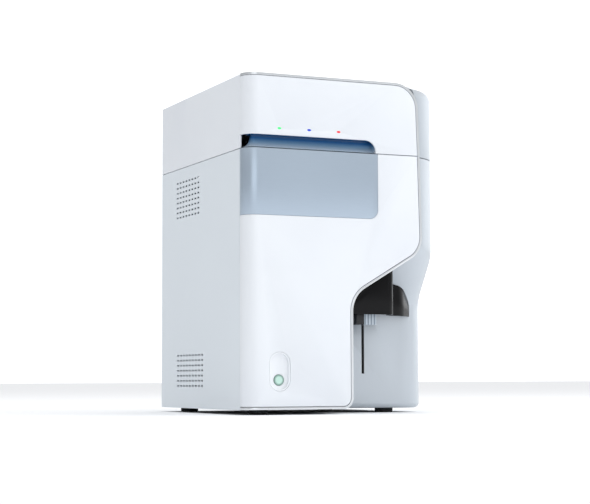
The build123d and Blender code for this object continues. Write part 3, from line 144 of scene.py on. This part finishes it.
# Two soft square lamps, at the right and overhead, which shape the shadows but leave
# no bright square on the metal. The floor is matt white paper.
lamp_target = (0.0, 0.0, 0.2)
floor_size = 60.0
for name, place, size, power in (
    ("key_lamp", (1.68, -1.17, 1.68), 1.2, 16.0),
    ("top_lamp", (0.0, -0.3, 3.2), 3.0, 26.0),
):
    lamp = bpy.data.lights.new(name, "AREA")
    lamp.shape = "SQUARE"
    lamp.size = size
    lamp.energy = power
    stand = bpy.data.objects.new(name, lamp)
    bpy.context.scene.collection.objects.link(stand)
    stand.visible_glossy = False
    aim = Vector(lamp_target) - Vector(place)
    facing = aim.to_track_quat("-Z", "Y").to_matrix().to_4x4()
    stand.matrix_world = Matrix.Translation(place) @ facing

bpy.ops.object.select_all(action="DESELECT")
bpy.ops.mesh.primitive_plane_add(size=floor_size, location=(0, 0, 0))
floor = bpy.context.object
floor.name = "floor"
floor_paint = bpy.data.materials.new("matt white studio floor")
floor_paint.use_nodes = True
floor_shader = floor_paint.node_tree.nodes["Principled BSDF"]
floor_shader.inputs["Base Color"].default_value = srgb("#fafbfd")
floor_shader.inputs["Roughness"].default_value = 0.9
floor_shader.inputs["Specular IOR Level"].default_value = 0.1
floor.data.materials.append(floor_paint)


# White mouldings: injection-moulded ABS front cover, lid front and lid shell, in a
# cool white. A spark-eroded mould gives the fine satin grain, and the edges that the
# mould parts on are rounded by about half a millimetre.
def start_material(name, **constants):
    """A new material, its shader with what stays the same all over, and coordinates."""
    material = bpy.data.materials.new(name)
    material.use_nodes = True
    tree = material.node_tree
    shader = tree.nodes["Principled BSDF"]
    for socket, value in constants.items():
        shader.inputs[socket.replace("_", " ")].default_value = value
    place = add(tree, "TexCoord").outputs["Object"]
    return material, tree, shader, place


def noise(tree, place, per_metre, detail=2.0):
    """The factor of a noise pattern with so many patches to the metre."""
    cloud = add(tree, "TexNoise", {"Vector": place, "Scale": per_metre, "Detail": detail})
    return cloud.outputs["Fac"]


def drawn_out(tree, place, per_metre):
    """A noise pattern with its own number of patches to the metre on each axis."""
    stretched = add(tree, "Mapping", {"Vector": place, "Scale": per_metre})
    return noise(tree, stretched.outputs["Vector"], 1.0)


def colour_by(tree, shader, factor, low, high, start=0.0, end=1.0):
    """Lets a pattern run the base colour from one tone to another."""
    tone = add(tree, "ValToRGB", {"Fac": factor})
    ramp = tone.color_ramp
    ramp.elements[0].position, ramp.elements[0].color = start, srgb(low)
    ramp.elements[1].position, ramp.elements[1].color = end, srgb(high)
    tree.links.new(tone.outputs["Color"], shader.inputs["Base Color"])
    return tone


def gloss_by(tree, shader, factor, low, high, start=0.0, end=1.0):
    """Lets a pattern run the roughness from one value to another."""
    span = add(tree, "MapRange", {"Value": factor, "From Min": start, "From Max": end,
                                  "To Min": low, "To Max": high})
    tree.links.new(span.outputs["Result"], shader.inputs["Roughness"])


def relief_by(tree, shader, factor, strength, depth_mm):
    """Lets a pattern raise and lower the surface."""
    bump = add(tree, "Bump", {"Height": factor, "Strength": strength,
                              "Distance": depth_mm / 1000})
    tree.links.new(bump.outputs["Normal"], shader.inputs["Normal"])


def moulded(name, light, dark, roughness, grain_mm, grain_depth_mm, patch_mm=120.0):
    """Moulded plastic: a fine grain, with faint patches of flow in colour and gloss."""
    gloss_spread = 0.08
    material, tree, shader, place = start_material(name, IOR=1.53)
    patches = noise(tree, place, 1000 / patch_mm, 3.0)
    colour_by(tree, shader, patches, dark, light, 0.35, 0.65)
    gloss_by(tree, shader, patches, roughness * (1 - gloss_spread),
             roughness * (1 + gloss_spread), 0.3, 0.7)
    relief_by(tree, shader, noise(tree, place, 1000 / grain_mm), 0.35, grain_depth_mm)
    return material


def dress(material, *names):
    """Gives CAD nodes their material."""
    for name in names:
        for slot in nodes[name].material_slots:
            slot.material = material


def softened(node, name, body, material, radius_mm, steps=2):
    """A copy of a CAD node, its loose triangles joined and its sharp edges rounded."""
    weld_gap = 2e-6
    flat_angle = math.radians(0.4)
    sharp_angle = math.radians(45)
    smooth_angle = math.radians(40)
    bpy.ops.object.select_all(action="DESELECT")
    nodes[node].select_set(True)
    bpy.context.view_layer.objects.active = nodes[node]
    bpy.ops.object.duplicate()
    piece = bpy.context.object
    piece.name = name
    bpy.ops.object.parent_clear(type="CLEAR_KEEP_TRANSFORM")
    bpy.ops.object.mode_set(mode="EDIT")
    bpy.ops.mesh.select_all(action="SELECT")
    bpy.ops.mesh.remove_doubles(threshold=weld_gap)
    bpy.ops.mesh.dissolve_limited(angle_limit=flat_angle)
    bpy.ops.object.mode_set(mode="OBJECT")
    edge = piece.modifiers.new("edge", "BEVEL")
    edge.width = radius_mm / 1000
    edge.segments = steps
    edge.limit_method = "ANGLE"
    edge.angle_limit = sharp_angle
    edge.harden_normals = False
    bpy.ops.object.modifier_apply(modifier="edge")
    bpy.ops.object.shade_smooth_by_angle(angle=smooth_angle)
    piece.data.materials.clear()
    piece.data.materials.append(material)
    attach(piece, body)
    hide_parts(node)


white_abs = moulded("ABS, spark-textured cool white", "#e5e9ee", "#e2e6ec", 0.42, 1.4, 0.02)
softened("front_cover", "front_moulding", "body", white_abs, 0.6)
softened("lid_fascia", "lid_front_moulding", "lid", white_abs, 0.6)
softened("lid_shell", "lid_top_moulding", "lid", white_abs, 0.5)


# Silver mouldings: ABS sprayed with a fine metallic lacquer and a satin clear coat.
# The aluminium flakes give a soft gleam that turns with the rounded corner.
flake_mm = 0.9
clouds_per_metre = 9.0
silver_lacquer, tree, shader, place = start_material(
    "ABS, sprayed silver metallic lacquer", Metallic=0.55, Coat_Weight=0.25,
    Coat_Roughness=0.25)
flakes = add(tree, "TexVoronoi", {"Vector": place, "Scale": 1000 / flake_mm}, feature="F1")
gloss_by(tree, shader, flakes.outputs["Distance"], 0.32, 0.40, 0.0, 0.8)
cloud = noise(tree, place, clouds_per_metre)
colour_by(tree, shader, cloud, "#bcc3ca", "#c2c9d0")
relief_by(tree, shader, cloud, 0.08, 0.2)
softened("right_cover", "silver_side_moulding", "body", silver_lacquer, 0.6)
softened("lid_side", "lid_side_moulding", "lid", silver_lacquer, 0.6)


# Left side and rear: zinc-coated sheet steel, powder coated in a pale blue-grey. The
# powder flows out into a faint orange peel of about two millimetres.
peel_mm = 2.2
films_per_metre = 6.0
powder_coat, tree, shader, place = start_material("steel sheet, pale powder coat", Roughness=0.5)
colour_by(tree, shader, noise(tree, place, films_per_metre, 3.0), "#dbe2e8", "#dfe6ec")
relief_by(tree, shader, noise(tree, place, 1000 / peel_mm, 1.0), 0.25, 0.05)
dress(powder_coat, "left_panel", "rear_panel")


# Satin strips: extruded aluminium, brushed along its length and clear anodised, let
# in round the white mouldings with a dark gap on its inner side.
brush_mm = 0.5
strokes_per_metre = 30.0
satin_aluminium, tree, shader, place = start_material(
    "anodised aluminium, satin brushed", Base_Color=srgb("#dfe2e5"), Metallic=1.0)
strokes = drawn_out(tree, place, (strokes_per_metre, 1000 / brush_mm, 1000 / brush_mm))
relief_by(tree, shader, strokes, 0.1, 0.03)
gloss_by(tree, shader, strokes, 0.24, 0.36)
softened("front_trim", "front_strip", "body", satin_aluminium, 0.5)
softened("lid_trim", "lid_strip", "lid", satin_aluminium, 0.5)


# Inlay: a bent plate of blue-silver anodised aluminium, brushed across, in its seat
# in the front cover. The real one carries lettering, and this one is left bare.
inlay_brush_mm = 0.6
lines_per_metre = 60.0
blue_silver, tree, shader, place = start_material(
    "anodised aluminium, blue-silver inlay", Metallic=0.75, Roughness=0.34)
lines = drawn_out(tree, place, (lines_per_metre, lines_per_metre, 1000 / inlay_brush_mm))
colour_by(tree, shader, lines, "#aebccb", "#b4c2d0")
relief_by(tree, shader, lines, 0.08, 0.03)
softened("name_band", "inlay_plate", "body", blue_silver, 0.3)


# Grip liner: a gloss scoop behind the notch, grey-blue like the inlay at its lip, with painted
# shade that deepens to a dark blue towards the top of the hollow.
liner_low, liner_high = (corner[2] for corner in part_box("grip_liner"))
swirls_per_metre = 30.0
blue_scoop, tree, shader, place = start_material("PMMA, grey-blue gloss scoop with painted shade", IOR=1.49)
upright = add(tree, "SeparateXYZ", {"Vector": place})
painted_shade_height = add(tree, "MapRange", {"Value": upright.outputs["Z"],
                              "From Min": liner_low, "From Max": liner_high})
# Painted shade: the colour darkens with height, from the lip's grey-blue to deep blue at the top of
# the grip hollow.
scoop_painted_shade_tone = colour_by(tree, shader, painted_shade_height.outputs["Result"], "#aebdca", "#0b3a68", 0.05, 0.95)
for spot, colour in ((0.45, "#6e93b4"), (0.7, "#1f5c95")):
    scoop_painted_shade_tone.color_ramp.elements.new(spot).color = srgb(colour)
gloss_by(tree, shader, noise(tree, place, swirls_per_metre), 0.16, 0.26)
softened("grip_liner", "grip_scoop", "lid", blue_scoop, 0.3)


# Status lamps: three oval light pipes of clear acrylic over coloured lamps, pressed
# into the lid's front, green, blue and red.
lamp_low, lamp_high = (Vector(corner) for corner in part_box("status_lenses"))
lamp_middle = (lamp_low + lamp_high) / 2
lamp_span = lamp_high - lamp_low
lamp_length = 0.006
lamp_sides = 32
lamp_rim = 0.0004
lamp_crown = 0.00004
haze_per_metre = 900.0
for station, name, colour, glow in (
    (0, "lamp_green", "#35d06a", 0.9),
    (1, "lamp_blue", "#1c3bb8", 0.5),
    (2, "lamp_red", "#e02b35", 0.6),
):
    centre_x = lamp_low.x + lamp_length / 2 + station * (lamp_span.x - lamp_length) / 2
    bpy.ops.object.select_all(action="DESELECT")
    bpy.ops.mesh.primitive_cylinder_add(
        vertices=lamp_sides,
        radius=lamp_length / 2,
        depth=lamp_span.y,
        location=(centre_x, lamp_middle.y, lamp_middle.z),
        rotation=(math.radians(90), 0, 0),
    )
    lens = bpy.context.object
    lens.name = name
    bpy.ops.object.transform_apply(location=True, rotation=True, scale=True)
    bpy.ops.object.mode_set(mode="EDIT")
    bpy.ops.mesh.select_all(action="SELECT")
    bpy.ops.transform.resize(
        value=(1, 1, lamp_span.z / lamp_length),
        center_override=(centre_x, 0, lamp_middle.z),
    )
    bpy.ops.mesh.select_all(action="DESELECT")
    bpy.ops.object.mode_set(mode="OBJECT")
    for face in lens.data.polygons:
        face.select = face.normal.y < -0.9
    bpy.ops.object.mode_set(mode="EDIT")
    bpy.ops.mesh.select_mode(type="FACE")
    bpy.ops.mesh.inset(thickness=lamp_rim, depth=0.0)
    bpy.ops.transform.translate(value=(0, -lamp_crown, 0))
    bpy.ops.object.mode_set(mode="OBJECT")
    bpy.ops.object.shade_smooth_by_angle(angle=math.radians(50))
    pipe, tree, shader, place = start_material(
        "PMMA light pipe, " + name.split("_")[1], Base_Color=srgb(colour),
        Emission_Color=srgb(colour), Emission_Strength=glow, IOR=1.49)
    gloss_by(tree, shader, noise(tree, place, haze_per_metre), 0.12, 0.2)
    lens.data.materials.append(pipe)
    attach(lens, "lid")
    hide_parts("status_lenses")


# Start button: a translucent green-white polycarbonate cap, with painted shade darkening it round
# its rim, in a white ABS pocket, with a small switch behind it.
bezel_abs = moulded("ABS, gloss white button pocket", "#eceff3", "#e8ecf1", 0.3, 1.2, 0.01, 60.0)
softened("button_bezel", "button_pocket", "body", bezel_abs, 0.5)
cap_radius = 0.008
cap_low, cap_high = (Vector(corner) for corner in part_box("power_button"))
cap_middle = (cap_low + cap_high) / 2
green_cap, tree, shader, place = start_material(
    "polycarbonate, pale green translucent", Roughness=0.22, IOR=1.58)
centred = add(tree, "Mapping", {"Vector": place,
                                "Location": (-cap_middle.x, -cap_low.y, -cap_middle.z)})
flat = add(tree, "VectorMath", {0: centred.outputs["Vector"], 1: (1, 0, 1)}, operation="MULTIPLY")
reach = add(tree, "VectorMath", {0: flat.outputs["Vector"]}, operation="LENGTH")
# Painted shade: the cap's colour darkens towards its rim, where the pocket shades it.
painted_rim_shade = add(tree, "MapRange", {"Value": reach.outputs["Value"],
                              "From Min": 0.0, "From Max": cap_radius})
colour_by(tree, shader, painted_rim_shade.outputs["Result"], "#c2e4d8", "#6c8f84", 0.55, 0.95)
softened("power_button", "button_cap", "start_button", green_cap, 0.4, 3)


# Probe hood: injection-moulded gloss black ABS, polished in the mould, so lamps draw
# upright highlights along its rounded corner and its wing.
ripple_mm = 25.0
gloss_black, tree, shader, place = start_material(
    "ABS, gloss black", Base_Color=srgb("#020204"), Specular_IOR_Level=0.2)
ripple = noise(tree, place, 1000 / ripple_mm, 1.0)
gloss_by(tree, shader, ripple, 0.14, 0.2)
relief_by(tree, shader, ripple, 0.05, 0.2)
softened("probe_cover", "probe_hood", "body", gloss_black, 0.4)


# Probe: a stainless tube with a black coating, which shows fine scuffs where it dips
# into the sample tubes.
scuffs_per_metre = 700.0
probe_coat, tree, shader, place = start_material(
    "stainless steel tube, black coated", Base_Color=srgb("#0c0c10"), Metallic=0.6)
gloss_by(tree, shader, noise(tree, place, scuffs_per_metre), 0.25, 0.45)
dress(probe_coat, "sample_probe")


# Wash block: machined acrylic, bored for the probe. Its left part is painted near black as shadow,
# and the clear part shows the pale bands that the mill leaves.
painted_shadow_shift = 0.004
bands_per_metre = 60.0
block_low, block_high = (corner[0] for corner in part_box("wash_block"))
painted_shadow_edge = (block_low + block_high) / 2 - painted_shadow_shift
clear_block, tree, shader, place = start_material(
    "acrylic, machined wash block", Roughness=0.25, IOR=1.49)
sides = add(tree, "SeparateXYZ", {"Vector": place})
painted_shadow_side = add(tree, "Math", {0: sides.outputs["X"], 1: painted_shadow_edge}, operation="GREATER_THAN")
bands = add(tree, "TexWave", {"Vector": place, "Scale": bands_per_metre, "Distortion": 0.3},
            bands_direction="X")
band_tone = colour_by(tree, shader, bands.outputs["Fac"], "#7e8b99", "#c9d4de")
# Painted shadow: left of the edge the block is coloured near black, where it lies in shade under
# the hood.
block_tone_with_painted_shadow = add(tree, "MixRGB", {"Fac": painted_shadow_side.outputs["Value"], "Color1": srgb("#0a0b10"),
                                  "Color2": band_tone.outputs["Color"]})
tree.links.new(block_tone_with_painted_shadow.outputs["Color"], shader.inputs["Base Color"])
softened("wash_block", "wash_station", "body", clear_block, 0.4)


# Feet: moulded natural rubber, with a matt skin that scuffs grey where it rubs, in
# specks of a few millimetres.
dust_mm = 4.0
foot_rubber, tree, shader, place = start_material("natural rubber, moulded black", Roughness=0.85)
colour_by(tree, shader, noise(tree, place, 1000 / dust_mm, 4.0), "#111214", "#26272a")
dress(foot_rubber, "feet")


# Sheet metal inside: zinc-plated steel for the tray, the deck, the fluid plate and
# the drive's frame. The plating shows as soft spangle more than a centimetre across.
spangle_mm = 14.0
zinc_plate, tree, shader, place = start_material("steel sheet, zinc plated", Metallic=1.0)
spangle = add(tree, "TexVoronoi", {"Vector": place, "Scale": 1000 / spangle_mm})
colour_by(tree, shader, spangle.outputs["Color"], "#a9adb0", "#b9bdc0")
gloss_by(tree, shader, spangle.outputs["Distance"], 0.36, 0.5)
dress(zinc_plate, "base_tray", "deck_plate", "fluid_plate", "drive_frame")


# Machined aluminium: posts, syringe frame, plungers, carriage, cell holder and the
# power supply's case, with the fine parallel marks that a face mill leaves.
mill_mm = 0.8
marks_per_metre = 40.0
machined_aluminium, tree, shader, place = start_material(
    "aluminium, face milled", Base_Color=srgb("#c9ccce"), Metallic=1.0)
marks = drawn_out(tree, place, (1000 / mill_mm, marks_per_metre, 1000 / mill_mm))
gloss_by(tree, shader, marks, 0.26, 0.42)
relief_by(tree, shader, marks, 0.15, 0.04)
dress(machined_aluminium, "corner_posts", "syringe_frame", "syringe_plungers",
      "probe_carriage", "flow_cell_holder", "power_supply")


# Optics: bench, laser, mounts and detectors in black anodised aluminium, bead blasted
# before anodising, so the black keeps a dusty satin sheen.
blast_mm = 0.7
black_anodise, tree, shader, place = start_material(
    "aluminium, bead blasted and black anodised", Base_Color=srgb("#1b1c20"), Metallic=0.6)
blast = noise(tree, place, 1000 / blast_mm)
relief_by(tree, shader, blast, 0.2, 0.04)
gloss_by(tree, shader, blast, 0.42, 0.58)
dress(black_anodise, "optical_bench", "lens_mounts")
for node, name in (
    ("laser_module", "laser_block"),
    ("scatter_detector", "forward_detector"),
    ("side_detector", "side_photodetector"),
):
    softened(node, name, "body", black_anodise, 0.6)


# Glass: the flow cell is fused silica, the lenses and syringe barrels are polished
# borosilicate. Each is clear, with a faint cold tint at its edges.
streaks_per_metre = 120.0
polished_glass, tree, shader, place = start_material(
    "borosilicate glass, polished", Base_Color=srgb("#e9f4f6"), Transmission_Weight=0.95,
    IOR=1.47)
gloss_by(tree, shader, noise(tree, place, streaks_per_metre), 0.01, 0.04)
dress(polished_glass, "flow_cell", "lenses", "syringe_barrels")


# Fluid parts: the manifold and the mixing chambers are machined and polished acrylic,
# clear enough to see the liquid in their channels.
crazes_per_metre = 90.0
clear_acrylic, tree, shader, place = start_material(
    "PMMA, polished clear", Base_Color=srgb("#e4eef0"), Transmission_Weight=0.8, IOR=1.49)
gloss_by(tree, shader, noise(tree, place, crazes_per_metre, 3.0), 0.04, 0.12)
dress(clear_acrylic, "valve_manifold", "mixing_chambers")


# Pump tube: milky silicone rubber with a faint bloom, which lets a little light into
# its wall.
bloom_mm = 6.25
silicone, tree, shader, place = start_material(
    "silicone rubber tube", Roughness=0.45, Subsurface_Weight=0.15, Subsurface_Scale=0.003)
colour_by(tree, shader, noise(tree, place, 1000 / bloom_mm), "#d8d4c8", "#e6e3da")
dress(silicone, "pump_tube")


# Black engineering plastic: motors, pump head, fan, switch, inlet and valves, moulded
# in glass-filled nylon with a dull, slightly fibrous skin.
nylon_black = moulded("nylon, glass filled black", "#1a1b1d", "#141517", 0.48, 1.5, 0.03, 30.0)
dress(nylon_black, "drive_motor", "syringe_motor", "pump_housing", "pump_motor",
      "solenoid_valves", "fan_frame", "fan_rotor", "power_switch", "mains_inlet")


# Steel: ground rods, screws, rotor, hinges and panel screws in bright stainless, with
# turning marks round them that are too fine to see one by one.
turn_mm = 0.6
turns_per_metre = 60.0
bright_steel, tree, shader, place = start_material(
    "stainless steel, ground", Base_Color=srgb("#b7b8ba"), Metallic=1.0)
turning = drawn_out(tree, place, (turns_per_metre, turns_per_metre, 1000 / turn_mm))
gloss_by(tree, shader, turning, 0.2, 0.34)
dress(bright_steel, "guide_rods", "drive_screw", "syringe_screw", "pump_rotor",
      "hinge_body_leaves", "hinge_lid_leaves", "cover_screws", "data_port")


# Hose ports: turned brass, nickel-free, dulled by handling into darker and lighter
# patches of a few millimetres.
tarnish_per_metre = 180.0
turned_brass, tree, shader, place = start_material("brass, turned", Metallic=1.0, Roughness=0.3)
colour_by(tree, shader, noise(tree, place, tarnish_per_metre, 3.0), "#b08d4c", "#d3b273")
dress(turned_brass, "fluid_ports")


# Circuit boards: glass-epoxy laminate under green solder mask, with traces that show
# as slightly lighter lines.
trace_cell_mm = 32.0
solder_mask, tree, shader, place = start_material("FR4 laminate, green solder mask", Roughness=0.35)
traces = add(tree, "TexBrick", {"Vector": place, "Scale": 1000 / trace_cell_mm,
                                "Mortar Size": 0.03, "Color1": srgb("#0f4a2b"),
                                "Color2": srgb("#12532f"), "Mortar": srgb("#2c7a4c")})
tree.links.new(traces.outputs["Color"], shader.inputs["Base Color"])
dress(solder_mask, "main_board", "status_board")
